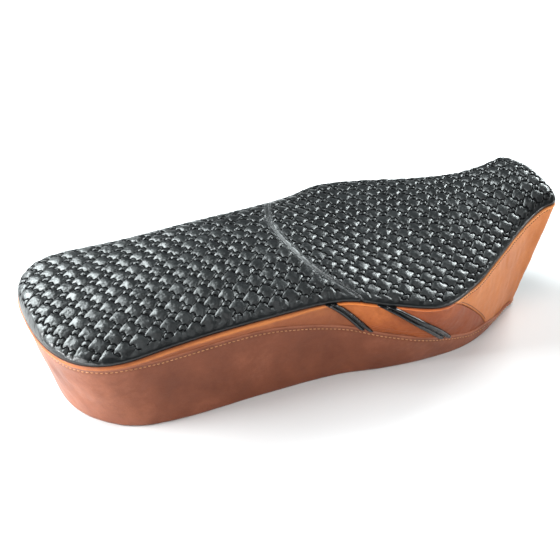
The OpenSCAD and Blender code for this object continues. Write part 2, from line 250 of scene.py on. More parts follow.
def make_object(name, verts, faces, attributes=None, weld=True):
    """An object from points in millimetres, with one float per point for each attribute."""
    mesh = bpy.data.meshes.new(name)
    mesh.from_pydata((np.asarray(verts) / 1000).tolist(), [], faces)
    for key, values in (attributes or {}).items():
        layer = mesh.attributes.new(key, "FLOAT", "POINT")
        layer.data.foreach_set("value", np.asarray(values, np.float32).ravel())
    if weld:
        b = bmesh.new()
        b.from_mesh(mesh)
        bmesh.ops.remove_doubles(b, verts=b.verts, dist=WELD)
        bmesh.ops.dissolve_degenerate(b, edges=b.edges, dist=SLIVER)
        bmesh.ops.recalc_face_normals(b, faces=b.faces)
        b.to_mesh(mesh)
        b.free()
    mesh.polygons.foreach_set("use_smooth", [True] * len(mesh.polygons))
    mesh.update()
    piece = bpy.data.objects.new(name, mesh)
    bpy.context.collection.objects.link(piece)
    return piece


def quads(n, m, start=0, wrap_n=False, wrap_m=False):
    """Faces of a grid of n by m points whose first vertex is number start."""
    i = np.arange(n if wrap_n else n - 1)[:, None]
    j = np.arange(m if wrap_m else m - 1)[None]
    a = start + i * m + j
    b = start + i * m + (j + 1) % m
    c = start + (i + 1) % n * m + (j + 1) % m
    d = start + (i + 1) % n * m + j
    return np.stack([a, b, c, d], -1).reshape(-1, 4).tolist()


def shell(name, outer, inner, attributes):
    """A closed skin between two grids of the same size."""
    n, m = outer.shape[:2]
    size = n * m
    verts = np.concatenate([outer.reshape(-1, 3), inner.reshape(-1, 3)])
    ring = ([i * m for i in range(n)] + [(n - 1) * m + j for j in range(1, m)]
            + [i * m + m - 1 for i in range(n - 2, -1, -1)] + list(range(m - 2, 0, -1)))
    faces = quads(n, m) + [f[::-1] for f in quads(n, m, size)]
    faces += [[a, b, b + size, a + size] for a, b in zip(ring, ring[1:] + ring[:1])]
    both = {k: np.concatenate([v.ravel(), v.ravel()]) for k, v in attributes.items()}
    return make_object(name, verts, faces, both)


def loop_solid(name, sections, attributes=None):
    """A ring-shaped solid from closed sections, joined end to start."""
    n, m = sections.shape[:2]
    faces = quads(n, m, wrap_n=True, wrap_m=True)
    return make_object(name, sections.reshape(-1, 3), faces, attributes)


def zip_rows(a, b):
    """Triangles between two rows of (place, vertex) pairs."""
    i = j = 0
    faces = []
    while i < len(a) - 1 or j < len(b) - 1:
        step_a = j == len(b) - 1 or (i < len(a) - 1 and a[i + 1][0] <= b[j + 1][0])
        if step_a:
            faces.append([a[i][1], a[i + 1][1], b[j][1]])
            i += 1
        else:
            faces.append([a[i][1], b[j + 1][1], b[j][1]])
            j += 1
    return faces


THREAD_SIDES = 5
# Share along a stitch, and its lift and thickness there as shares of its radius
THREAD_SHAPE = [(0, -0.5, 0.55), (0.2, 0.35, 1), (0.5, 0.6, 1.1), (0.8, 0.35, 1),
                (1, -0.5, 0.55)]


def thread(name, starts, ends, ups, radius):
    """Stitches: short bowed threads whose ends dip into the leather."""
    sides, shape = THREAD_SIDES, THREAD_SHAPE
    along = ends - starts
    axis = along / np.maximum(np.linalg.norm(along, axis=1, keepdims=True), 1e-9)
    out = np.cross(axis, ups)
    out /= np.maximum(np.linalg.norm(out, axis=1, keepdims=True), 1e-9)
    up = np.cross(out, axis)
    rings = []
    for f, lift, wide in shape:
        middle = starts + along * f + up * lift * radius
        for k in range(sides):
            a = 2 * math.pi * k / sides
            rings.append(middle + (out * math.cos(a) + up * math.sin(a)) * radius * wide)
    count, per = len(starts), len(shape) * sides
    verts = np.stack(rings, 1).reshape(-1, 3)
    one = quads(len(shape), sides, wrap_m=True)
    one += [list(range(sides))[::-1], list(range(per - sides, per))]
    faces = [[v + s * per for v in f] for s in range(count) for f in one]
    return make_object(name, verts, faces, weld=False)


def row_stitches(name, row, ups, pitch, length, radius):
    """A row of stitches along a polyline on a surface."""
    s = lengths(row[None], 1)[0]
    keep = np.concatenate([[True], np.diff(s) > 1e-6])
    s, row, ups = s[keep], row[keep], ups[keep]
    at = np.arange(pitch / 2, s[-1] - length, pitch)

    def pick(values, place):
        return np.stack([np.interp(place, s, values[:, k]) for k in range(3)], -1)
    return thread(name, pick(row, at), pick(row, at + length), pick(ups, at + length / 2),
                  radius)


# ---- quilting ----
TILE, SMALL = 18.6, 8.1  # sides of the big and the small squares of the pattern
STEPS = 3  # steps of a stepped line from one big square to the next
STITCHES = 5  # stitches along a straight line
QUILT_H = 1.9  # rise of a big square
SUNK = 0.6  # how far the lines between squares lie under the smooth cover
CREASE_W, CREASE_D = 0.9, 0.5  # half width and depth of a sewn line's crease
SMALL_RISE = 0.6  # rise of a small square as a share of a big one's
REACH = 40  # stepped lines further than this from a cell can't touch it
TILES = 40  # cells each way from the origin that may get stitches


class Quilt:
    """A pattern of interlocked squares: straight lines one way, stepped lines the other."""

    def __init__(self, v1, v2, origin, stretch=None):
        self.v1, self.v2 = np.array(v1), np.array(v2)
        self.origin = np.array(origin)
        self.stretch = stretch
        size = TILE**2 + SMALL**2
        self.e1 = (TILE * self.v1 - SMALL * self.v2) / size
        self.e2 = (-SMALL * self.v1 - TILE * self.v2) / size
        run = self.e2 * (TILE + SMALL) / STEPS
        corners = [np.zeros(2)]
        here = np.zeros(2)
        for _ in range(STEPS):
            corners += [here + [share * run[0], run[1] * 0.5] for share in (-0.05, 1.05)]
            here = here + run
            corners.append(here)
        self.stairs = np.array(corners)
        start = self.e2 * TILE
        self.straight = np.array([start, start + self.e1 * (TILE + SMALL)])

    def plan(self, x, y):
        """Places in the pattern's own plane."""
        return np.stack([self.stretch(x) if self.stretch else x, y], -1) - self.origin

    def height(self, x, y, strength):
        """Height of the quilting over its lines, and how deep in a line each point is."""
        p = self.plan(x, y)
        cell = np.floor(p @ np.linalg.inv(np.stack([self.v1, self.v2], 1)).T)
        local = p - cell[..., :1] * self.v1 - cell[..., 1:] * self.v2
        to_tile = np.linalg.inv(np.stack([self.e1, self.e2], 1))
        near = np.full(x.shape, 99.0)
        dome = np.zeros(x.shape)
        for i in range(-2, 3):
            for j in range(-2, 3):
                shift = i * self.v1 + j * self.v2
                q = local - shift
                tile = q @ to_tile.T
                dome = np.maximum(dome, pillow(tile / TILE))
                small = pillow((tile - [0, TILE]) / SMALL, 0.25, 0.25)
                dome = np.maximum(dome, SMALL_RISE * small)
                near = np.minimum(near, segment(q, *self.straight))
                for a, b in zip(self.stairs, self.stairs[1:]):
                    off = (a + b) / 2 + shift - (self.v1 + self.v2) / 2
                    if np.linalg.norm(off) <= REACH:
                        near = np.minimum(near, segment(q, a, b))
        crease = np.exp(-(near / CREASE_W) ** 2)
        shown = np.clip(strength * 1.6, 0, 1)
        rise = (QUILT_H * dome - SUNK) * strength
        return rise - CREASE_D * crease * shown, crease * shown

    def stitches(self, inside):
        """Start and end of each stitch in plan, where inside(x, y) says it is wanted."""
        starts, ends = [], []
        for i in range(-TILES, TILES + 1):
            for j in range(-TILES, TILES + 1):
                at = self.origin + i * self.v1 + j * self.v2
                for a, b in zip(self.stairs, self.stairs[1:]):
                    starts.append(at + a)
                    ends.append(at + b)
                a, b = self.straight
                for k in range(STITCHES):
                    starts.append(at + a + (b - a) * (k + 0.04) / STITCHES)
                    ends.append(at + a + (b - a) * (k + 0.96) / STITCHES)
        starts, ends = np.array(starts), np.array(ends)
        if self.stretch:
            grid = np.linspace(X0, X1, 800)
            starts[:, 0] = np.interp(starts[:, 0], self.stretch(grid), grid, -999, 999)
            ends[:, 0] = np.interp(ends[:, 0], self.stretch(grid), grid, -999, 999)
        keep = inside(*starts.T) & inside(*ends.T)
        return starts[keep], ends[keep]


def pillow(q, across=0.75, along=0.35):
    """A rise over the square from 0 to 1: crowned one way and flat-topped the other."""
    inside = np.clip(4 * q * (1 - q), 0, 1)
    return inside[..., 0] ** across * inside[..., 1] ** along * np.all((q > 0) & (q < 1), -1)


def segment(p, a, b):
    """Distance of each point from the line between a and b."""
    d = b - a
    t = np.clip(((p - a) @ d) / (d @ d), 0, 1)
    return np.linalg.norm(p - a - t[..., None] * d, axis=-1)


# The pattern's two repeats, in millimetres along the length and across
REAR_V1, REAR_V2 = (18.4, 5.3), (3.5, -21.2)
FRONT_V1, FRONT_V2 = (16.6, 5.2), (3.3, -19.4)


def nose_stretch(x):
    """The rider's quilting is closer together towards the nose."""
    return x + 0.085 * np.maximum(x - 150, 0) ** 2 / 100


def quilt_origin(corner, v1, v2):
    """The pattern's origin that puts the end of a straight line on the corner."""
    size = TILE**2 + SMALL**2
    e2 = (-SMALL * np.array(v1) - TILE * np.array(v2)) / size
    return np.array(corner) - e2 * TILE


REAR_QUILT = Quilt(REAR_V1, REAR_V2, quilt_origin((14.4, 19.0), REAR_V1, REAR_V2))
FRONT_QUILT = Quilt(FRONT_V1, FRONT_V2, quilt_origin((60.0, 4.0), FRONT_V1, FRONT_V2),
                    nose_stretch)


# ---- materials ----
def new_material(name, roughness, **constants):
    """A material with constants on its shader, and its texture coordinates."""
    mat = bpy.data.materials.new(name)
    mat.use_nodes = True
    tree = mat.node_tree
    shader = tree.nodes["Principled BSDF"]
    shader.inputs["Roughness"].default_value = roughness
    for key, value in constants.items():
        shader.inputs[key.replace("_", " ")].default_value = value
    coords = tree.nodes.new("ShaderNodeTexCoord")
    return mat, tree, shader, coords.outputs["Object"]


def link(tree, a, b):
    tree.links.new(a, b)


def noise_node(tree, coords, scale, detail, stretch=None, distortion=0.0):
    """Noise, stretched by (scale, rotation) of its coordinates."""
    node = tree.nodes.new("ShaderNodeTexNoise")
    node.inputs["Scale"].default_value = scale
    node.inputs["Detail"].default_value = detail
    node.inputs["Distortion"].default_value = distortion
    if stretch:
        mapping = tree.nodes.new("ShaderNodeMapping")
        mapping.inputs["Scale"].default_value = stretch[0]
        mapping.inputs["Rotation"].default_value = stretch[1]
        link(tree, coords, mapping.inputs["Vector"])
        coords = mapping.outputs["Vector"]
    link(tree, coords, node.inputs["Vector"])
    return node.outputs["Fac"]


def ramp(tree, value, stops):
    """Colours by value: stops are (place, colour)."""
    node = tree.nodes.new("ShaderNodeValToRGB")
    for element, (place, colour) in zip(node.color_ramp.elements, (stops[0], stops[-1])):
        element.position, element.color = place, (*colour, 1)
    for place, colour in stops[1:-1]:
        node.color_ramp.elements.new(place).color = (*colour, 1)
    link(tree, value, node.inputs["Fac"])
    return node.outputs["Color"]


def math_node(tree, kind, a, b):
    node = tree.nodes.new("ShaderNodeMath")
    node.operation = kind
    for socket, value in zip(node.inputs, (a, b)):
        if isinstance(value, (int, float)):
            socket.default_value = value
        else:
            link(tree, value, socket)
    return node.outputs["Value"]


def plus(tree, a, b):
    return math_node(tree, "ADD", a, b)


def times(tree, a, b):
    return math_node(tree, "MULTIPLY", a, b)


def mix_colours(tree, factor, a, b, kind="MIX"):
    node = tree.nodes.new("ShaderNodeMix")
    node.data_type = "RGBA"
    node.blend_type = kind
    for socket, value in ((node.inputs[0], factor), (node.inputs[6], a), (node.inputs[7], b)):
        if isinstance(value, (int, float)):
            socket.default_value = value
        elif isinstance(value, tuple):
            socket.default_value = (*value, 1)
        else:
            link(tree, value, socket)
    return node.outputs[2]


def attribute(tree, name):
    node = tree.nodes.new("ShaderNodeAttribute")
    node.attribute_name = name
    return node.outputs["Fac"]


def bump_chain(tree, shader, layers):
    """Adds bumps one on the other: each layer is (height, strength, distance in metres)."""
    last = None
    for height, strength, distance in layers:
        node = tree.nodes.new("ShaderNodeBump")
        node.inputs["Strength"].default_value = strength
        node.inputs["Distance"].default_value = distance
        link(tree, height, node.inputs["Height"])
        if last:
            link(tree, last, node.inputs["Normal"])
        last = node.outputs["Normal"]
    link(tree, last, shader.inputs["Normal"])


def grain_node(tree, coords, scale):
    """Pebbled leather grain: rounded cells between fine creases."""
    node = tree.nodes.new("ShaderNodeTexVoronoi")
    node.feature = "SMOOTH_F1"
    node.inputs["Scale"].default_value = scale
    node.inputs["Smoothness"].default_value = 0.6
    wobble = tree.nodes.new("ShaderNodeTexNoise")
    wobble.inputs["Scale"].default_value = scale * 0.6
    link(tree, coords, wobble.inputs["Vector"])
    shifted = tree.nodes.new("ShaderNodeVectorMath")
    shifted.operation = "MULTIPLY_ADD"
    shifted.inputs[1].default_value = (0.0006,) * 3
    link(tree, wobble.outputs["Color"], shifted.inputs[0])
    link(tree, coords, shifted.inputs[2])
    link(tree, shifted.outputs["Vector"], node.inputs["Vector"])
    return node.outputs["Distance"]


def black_leather(name, quilted):
    """Glossy pebbled leather; quilted, it is duller in the sewn lines and coloured darker there
    as painted shade for the grooves.
    """
    mat, tree, shader, coords = new_material(name, 0.34, Specular_IOR_Level=0.5)
    cloud = noise_node(tree, coords, 28, 4)
    colour = ramp(tree, cloud, [(0.25, (0.0022, 0.0028, 0.0031)),
                                (0.55, (0.0042, 0.0053, 0.0058)),
                                (0.8, (0.0085, 0.0102, 0.0108))])
    fine = noise_node(tree, coords, 420, 5, distortion=0.6)
    rough = plus(tree, plus(tree, times(tree, cloud, 0.16), 0.19), times(tree, fine, 0.12))
    if quilted:
        lines = attribute(tree, "lines")
        # painted shade: the sewn lines are mixed towards a darker black, standing in for the
        # shade in the grooves
        colour = mix_colours(tree, lines, colour, (0.0012, 0.0014, 0.0016))
        rough = plus(tree, rough, times(tree, lines, 0.3))
    link(tree, colour, shader.inputs["Base Color"])
    link(tree, rough, shader.inputs["Roughness"])
    streaks = noise_node(tree, coords, 330, 3, ((1.0, 0.28, 1.0), (0, 0, math.radians(-35))), 0.4)
    bump_chain(tree, shader, [(streaks, 0.45 if quilted else 0.2, 0.0006),
                              (grain_node(tree, coords, 900), 0.45, 0.0003),
                              (fine, 0.2, 0.0002)])
    return mat


def tan_leather(name, dark, base, light, seed, folds=0.28):
    """Pull-up leather with painted light and shade: lighter where it runs over an edge as a
    painted highlight, darker in the seams as painted shade.
    """
    mat, tree, shader, coords = new_material(name, 0.45, Specular_IOR_Level=0.22)
    cloud = noise_node(tree, coords, 14 + seed, 5, distortion=0.8)
    small = noise_node(tree, coords, 160 + seed, 4)
    tone = plus(tree, times(tree, cloud, 0.5), times(tree, small, 0.2))
    # painted light and shade, carried by a float on each point, lighten and darken the tone
    tone = plus(tree, tone, times(tree, attribute(tree, "painted_light_and_tone"), 0.6))
    colour = ramp(tree, tone, [(0.2, dark), (0.65, base), (1.0, light)])
    grain = grain_node(tree, coords, 760)
    pores = ramp(tree, grain, [(0.0, (0.86, 0.86, 0.86)), (0.5, (1, 1, 1))])
    colour = mix_colours(tree, 1.0, colour, pores, "MULTIPLY")
    link(tree, colour, shader.inputs["Base Color"])
    link(tree, plus(tree, times(tree, cloud, 0.22), 0.32), shader.inputs["Roughness"])
    creases = noise_node(tree, coords, 90, 5, ((1, 1, 1), (0, 0.4, 0)), 1.2)
    bump_chain(tree, shader, [(creases, folds, 0.0012), (grain, 0.35, 0.0002),
                              (small, 0.12, 0.0004)])
    return mat


def speckled(name, base, light, roughness, scale, depth, metallic=0.0, stretch=None, **more):
    """Plastic, rubber, metal, vinyl, thread, wadding or foam, by its scale and stretch."""
    mat, tree, shader, coords = new_material(name, roughness, Metallic=metallic, **more)
    fine = noise_node(tree, coords, scale, 5, stretch)
    broad = noise_node(tree, coords, 22, 3)
    tone = plus(tree, times(tree, fine, 0.5), times(tree, broad, 0.5))
    link(tree, ramp(tree, tone, [(0.3, base), (0.7, light)]), shader.inputs["Base Color"])
    link(tree, plus(tree, times(tree, tone, 0.24), roughness - 0.12),
         shader.inputs["Roughness"])
    bump_chain(tree, shader, [(fine, 0.4, depth)])
    return mat


def strip_leather():
    """Patent-like black leather of the double ribs."""
    mat, tree, shader, coords = new_material(
        "strip_leather", 0.22, Specular_IOR_Level=0.4, Coat_Weight=0.35, Coat_Roughness=0.08)
    cloud = noise_node(tree, coords, 60, 4)
    link(tree, ramp(tree, cloud, [(0.3, (0.001, 0.0013, 0.0016)), (0.7, (0.004, 0.005, 0.006))]),
         shader.inputs["Base Color"])
    link(tree, plus(tree, times(tree, cloud, 0.25), 0.12), shader.inputs["Roughness"])
    bump_chain(tree, shader, [(noise_node(tree, coords, 260, 4, distortion=1.0), 0.18, 0.0005)])
    return mat


QUILTED = black_leather("quilted_leather", True)
PLAIN_BLACK = black_leather("plain_black_leather", False)
BAND = tan_leather("band_leather", (0.13, 0.034, 0.012), (0.27, 0.082, 0.033),
                   (0.5, 0.17, 0.05), 0)
MIDDLE = tan_leather("middle_leather", (0.13, 0.026, 0.008), (0.3, 0.075, 0.02),
                     (0.6, 0.185, 0.045), 2)
FRONT = tan_leather("front_leather", (0.1, 0.022, 0.008), (0.25, 0.06, 0.02),
                    (0.56, 0.16, 0.05), 3)
CHEEK = tan_leather("cheek_leather", (0.24, 0.07, 0.02), (0.5, 0.165, 0.05),
                    (0.72, 0.29, 0.1), 1, folds=0.08)
SKIRT = tan_leather("skirt_leather", (0.075, 0.021, 0.01), (0.175, 0.054, 0.027),
                    (0.32, 0.115, 0.062), 4)
STRIP = strip_leather()
BLACK_THREAD = speckled("black_thread", (0.0008, 0.0008, 0.001), (0.004, 0.0045, 0.005),
                        0.85, 1400, 0.0002, Specular_IOR_Level=0.05)
GREY_THREAD = speckled("grey_thread", (0.045, 0.048, 0.05), (0.11, 0.113, 0.116),
                       0.6, 1400, 0.0002)
TAN_THREAD = speckled("tan_thread", (0.36, 0.15, 0.06), (0.62, 0.3, 0.13), 0.6, 1400, 0.0002)
RUST_THREAD = speckled("rust_thread", (0.09, 0.03, 0.015), (0.2, 0.075, 0.035),
                       0.6, 1400, 0.0002)
VINYL = speckled("pull_strip_vinyl", (0.016, 0.016, 0.017), (0.04, 0.04, 0.043),
                 0.6, 900, 0.0003)
FOAM = speckled("moulded_foam", (0.5, 0.4, 0.18), (0.72, 0.62, 0.34), 0.92, 1100, 0.0006)
WADDING = speckled("fibre_wadding", (0.6, 0.57, 0.48), (0.8, 0.78, 0.7), 0.95, 500, 0.001)
PLASTIC = speckled("moulded_plastic", (0.014, 0.014, 0.016), (0.032, 0.032, 0.035),
                   0.52, 1500, 0.0002)
STEEL = speckled("brushed_steel", (0.3, 0.31, 0.32), (0.46, 0.47, 0.48),
                 0.36, 500, 0.00008, 1.0, ((0.04, 1, 1), (0, 0, 0)))
ZINC = speckled("zinc_steel", (0.5, 0.5, 0.52), (0.68, 0.68, 0.67), 0.33, 700, 0.0001, 1.0)
RUBBER = speckled("buffer_rubber", (0.01, 0.01, 0.011), (0.026, 0.026, 0.027), 0.72, 800, 0.0003)

# CAD nodes whose shape stays
CARRIED = [(("seat_pan",), PLASTIC), (("foam_cushion",), FOAM),
           (("wadding_rear", "wadding_front", "side_pad"), WADDING),
           (("front_tongue", "rear_bracket_right", "rear_bracket_left"), STEEL),
           (("tongue_rivets", "bracket_rivets", "weld_nuts", "staples"), ZINC),
           (tuple(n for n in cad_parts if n.startswith("buffer_")), RUBBER)]
for names, material in CARRIED:
    for node_name in names:
        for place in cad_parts[node_name].material_slots:
            place.link = "OBJECT"
            place.material = material


def fit(piece, material, nodes=()):
    piece.data.materials.append(material)
    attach(piece, "root")
    if nodes:
        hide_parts(*nodes)
    return piece


# ---- top covers ----
ROW_STEP, REAR_STEP, FRONT_STEP = 0.98, 1.12, 1.14  # of the covers' grids
SEAM_HALF = edge_w(np.array(0.0))
FRONT_HALF = 128  # the half width that the front cover's grid is spaced for
SEAM_LAP = 1.2  # how far each cover runs under the folded seam
UNDER_COLS = 9  # columns of a cover's plain underside
STITCH_R, STITCH_RISE = 0.62, 0.6
FIRM_ENOUGH = 0.25  # weaker quilting than this shows no stitches
STITCH_EDGE, STITCH_SEAM = 2.2, 4.5  # no stitches closer than this to the edge and the seam


def rear_rows():
    a = np.radians(np.linspace(0, 90, 170))
    round_part = X0 + REAR_ROUND * (1 - np.cos(a) ** 0.8)
    straight = np.arange(X0 + REAR_ROUND + ROW_STEP, -25, ROW_STEP)
    return np.concatenate([round_part, straight])


def front_rows():
    straight = np.arange(30, X1 - NOSE_ROUND, ROW_STEP)
    f = np.concatenate([np.linspace(0, 0.9, 22), 1 - np.geomspace(0.085, 1e-4, 14), [1]])
    return np.concatenate([straight, X1 - NOSE_ROUND * (1 - f)])


def across_places(half, step):
    """v from -1 to 1, closer together near the rolled edge."""
    return spaced(2 * half, 0.3, step) / half - 1


def spread(rows, v):
    """Straight rows across, one place along for every v."""
    return np.broadcast_to(rows[:, None], (len(rows), len(v)))


def between(a, b, shares):
    """Rows from a towards b, at the given shares of the way."""
    return a + (b - a) * shares[:, None]


def fade(x, border, seam):
    """How strong the quilting is near the borders: it runs closer to the rear end."""
    wide = (3.5 + 16 * smooth((x - X0 - 45) / 60) * smooth((90 - x) / 60)
            + 4 * smooth((x - 30) / 60))
    soft = smooth((border - 0.8) / wide) * 0.85 + smooth((border - wide) / 20) * 0.15
    return soft * smooth((seam + 1) / 5)


def unevenness(p):
    """Small hollows and rises of a cover stretched over foam."""
    return ripples(p, 26, 11) * 0.35 + ripples(p, 9, 12) * 0.18


def cover_surface(x, v, quilt, seam_row):
    """Outer points, up directions, distance from the seam, underside, depth in the lines."""
    base, d = top_point(x, np.broadcast_to(v, x.shape))
    seam = np.linalg.norm(base - base[seam_row][None], axis=-1)
    up = normals(base, lambda p: (0, 0, 1))
    strength = fade(base[..., 0], d, seam)
    height, lines = quilt.height(base[..., 0], base[..., 1], strength)
    edge = rounded(seam, 1.6) * 0.7 - bead(seam, 3.0, 0.8, 0.3)
    gather = np.sin(base[..., 0] / 1.7 + 2.5 * ripples(base, 30, 13)) * bead(d, 8, 6, 0.5)
    edge = edge + gather * (1 - strength) * smooth((seam - 4) / 10)
    lift = height + unevenness(base) * smooth(np.minimum(d, seam) / 10) + edge
    few = np.linspace(0, x.shape[1] - 1, UNDER_COLS).round().astype(int)
    under = base[:, few] - [0, 0, LEATHER + 0.6]
    under[:, [0, -1], 2] -= 1.0
    under[:, :, 1] *= 1 - 0.9 / np.maximum(np.abs(under[:, :1, 1]), 6)
    return base + up * lift[..., None], up, seam, under, few, lines


def quilt_stitches(name, quilt, front):
    """The black stitches in a cover's sewn lines."""
    def inside(px, py):
        held = np.clip(px, X0, X1)
        half = round_off(held) * edge_w(held)
        near = np.minimum(np.minimum(half - np.abs(py), px - X0), X1 - px)
        gap = (px - seam_x(py)) * (1 if front else -1)
        return (near > STITCH_EDGE) & (gap > STITCH_SEAM) & (px > X0) & (px < X1)

    ends = quilt.stitches(inside)
    lifted, shown = [], np.ones(len(ends[0]), bool)
    for x, y in (plan.T for plan in ends):
        place, near = top_point(x, y / (round_off(x) * edge_w(x)))
        firm = fade(x, near, np.abs(x - seam_x(y)))
        shown &= firm > FIRM_ENOUGH
        rise = quilt.height(x, y, firm)[0] + unevenness(place)
        lifted.append(place + np.stack([0 * rise, 0 * rise, rise + STITCH_RISE * firm - 0.2], -1))
    ups = np.tile([0.0, 0.0, 1.0], (shown.sum(), 1))
    fit(thread(name, lifted[0][shown], lifted[1][shown], ups, STITCH_R), BLACK_THREAD)


def cover(name, x, v, quilt, front, node):
    """A quilted cover: x has a row for each line across, and v is the place across."""
    outer, up, seam, under, few, lines = cover_surface(x, v, quilt, 0 if front else len(x) - 1)
    rows, cols = x.shape
    size = rows * cols
    verts = np.concatenate([outer.reshape(-1, 3), under.reshape(-1, 3)])
    faces = quads(rows, cols) + [f[::-1] for f in quads(rows, UNDER_COLS, size)]
    for col, k in ((0, 0), (cols - 1, UNDER_COLS - 1)):
        faces += [[i * cols + col, (i + 1) * cols + col,
                   size + (i + 1) * UNDER_COLS + k, size + i * UNDER_COLS + k]
                  for i in range(rows - 1)]
    for row in (0, rows - 1):
        faces += zip_rows([(v[j], row * cols + j) for j in range(cols)],
                          [(v[few[k]], size + row * UNDER_COLS + k) for k in range(UNDER_COLS)])
    # the depth in the sewn lines goes to the shader, which paints shade into the grooves with it
    shade = np.concatenate([lines.ravel(), np.zeros(rows * UNDER_COLS)])
    piece = make_object(name, verts, faces, {"lines": shade})
    fit(piece, QUILTED, [node])
    quilt_stitches(name + "_stitches", quilt, front)
    return outer, up


V_REAR = across_places(SEAM_HALF - 2, REAR_STEP)
REAR_ROWS = rear_rows()
REAR_END = seam_x(V_REAR * SEAM_HALF) - WELT_W / 2 + SEAM_LAP
rear_x = np.concatenate([spread(REAR_ROWS, V_REAR),
                         between(REAR_ROWS[-1], REAR_END, np.arange(1, 41) / 40)])
rear_surface = cover("rear_cover", rear_x, V_REAR, REAR_QUILT, False, "top_cover_rear")

V_FRONT = across_places(FRONT_HALF, FRONT_STEP)
FRONT_ROWS = front_rows()
FRONT_END = seam_x(V_FRONT * SEAM_HALF) + WELT_W / 2 - SEAM_LAP
front_x = np.concatenate([between(FRONT_END, FRONT_ROWS[0], np.arange(42) / 42),
                          spread(FRONT_ROWS, V_FRONT)])
front_surface = cover("front_cover", front_x, V_FRONT, FRONT_QUILT, True, "top_cover_front")


# ---- folded seam across the top ----
def seam_welt():
    """Two ribs with a sunk line between them."""
    v = across_places(SEAM_HALF - 2, 1.0)
    w = np.linspace(-WELT_W / 2 + 0.6, WELT_W / 2 - 0.6, 13)
    grid, _ = top_point(seam_x(v * SEAM_HALF)[:, None] + w[None], spread(v, w))
    up = normals(grid, lambda p: (0, 0, 1))
    ribs = 1.15 * np.abs(np.sin(np.pi * (w - w[0]) / (w[-1] - w[0]) * 2)) ** 0.7 - 1.3
    ribs = ribs[None] + ripples(grid, 12, 5) * 0.15
    # the sunk line between the ribs gets painted shade through the quilted leather's line value
    welt = shell("seam_welt", grid + up * ribs[..., None], grid - up * 3.0,
                 {"lines": np.broadcast_to(bead(w, 0, 0.5, 1.0), grid.shape[:2])})
    fit(welt, QUILTED, ["cross_seam_welt"])


seam_welt()
for name, (surface, ups), row in (("rear", rear_surface, -4), ("front", front_surface, 3)):
    fit(row_stitches(f"seam_stitches_{name}", surface[row] + ups[row] * 0.1, ups[row],
                     4.2, 3.1, 0.26), GREY_THREAD)


# ---- side panels ----
BELOW = 2  # how far a side panel runs under the skirt's top edge
STRIP_LAP = 1.5  # how far a panel's end runs under the strip beside it
CHEEK_SEWN = 5.2  # from the cheek's top edge to its topstitching
LAST_UPRIGHT = -60  # where the rear panel's lines start to slant


def side_grid(lines, rows, side):
    """A grid on the side through slanted lines, from the top edge to just under the skirt."""
    f = spaced(1.0, 0.012, 1.0 / rows)
    x = lines[:, :1] + (lines[:, 1:] - lines[:, :1]) * f[None]
    return side_point(x, (skirt_at(x) + BELOW / edge_z(x)) * f[None], 0.0, side)


def panel(name, lines, side, rows, profile, material, node, ends, slack):
    """A sewn panel. profile(down, along, height, width) is how far it stands out, ends are
    the radii of its two sewn ends, and slack is the size and height of its unevenness."""
    grid = side_grid(lines, rows, side)
    out = normals(grid, lambda p: (0, side, 0.2))
    down, along = lengths(grid, 1), lengths(grid, 0)
    height, width = down[:, -1:], along[-1:]
    lift = profile(down, along, height, width) + ripples(grid, slack[0], 31 + side) * slack[1]
    lift = lift + rounded(down, 2.2) + rounded(np.minimum(height - down + 0.5, 9), 2.0)
    for radius, from_end in zip(ends, (along, width - along)):
        if radius:
            lift = lift + rounded(from_end + 0.2, radius)
    outer = grid + out * lift[..., None]
    near = np.minimum(np.minimum(down, height - down), np.minimum(along, width - along))
    # painted light and shade: a painted highlight along the crest under the top edge, painted
    # shade within a millimetre or so of the sewn edges, and painted shade growing towards the
    # bottom
    painted_light_and_tone = 0.5 + bead(down, 2.8, 1.8, 0.5) - 0.3 * np.exp(-near / 1.2)
    painted_light_and_tone = painted_light_and_tone + 0.12 - 0.34 * down / height
    piece = shell(name, outer, grid - out * LEATHER, {"painted_light_and_tone": painted_light_and_tone})
    fit(piece, material, [node])
    return outer, out


def rear_profile(down, along, height, width):
    return bead(down, 3.4, 3.0, 1.5) + 0.9 * arch(down / height) * np.clip(height / 16, 0, 1)


def middle_profile(down, along, height, width):
    puff = 3.4 * (arch(down / height, 0.8) * arch(along / width, 0.6))
    low = height - down + 3 * np.sin(np.pi * np.clip(along / width, 0, 1) + 0.4)
    crease = -bead(low, 7, 1.3, 1.7) - bead(low, 12.5, 1.5, 1.3) - bead(low, 18.5, 1.8, 0.6)
    return puff + bead(down, 3.0, 3.0, 1.2) + crease * arch(along / width, 0.6)


def front_profile(down, along, height, width):
    puff = 2.2 * (arch(down / height, 0.9) * arch(along / width, 0.5))
    return puff + bead(down, 3.2, 2.8, 1.2)


def cheek_profile(down, along, height, width):
    puff = 1.8 * arch(down / height, 0.7)
    return (puff * arch(along / width, 0.3) + bead(down, 2.6, 2.2, 0.9)
            - bead(down, CHEEK_SEWN, 0.8, 0.5))


def strip_profile(down, along, height, width):
    share = np.clip(along / width, 0, 1)
    return 3.0 * np.abs(np.sin(2 * np.pi * share)) ** 0.75 + 0.2


def seam_pair(strip, end, off):
    """A strip's end line, moved off along the length."""
    return (strip[end][0] + off, strip[end][1] + off)


def upright(x):
    """Lines straight down the side at the places x."""
    return np.stack([x, x], 1)


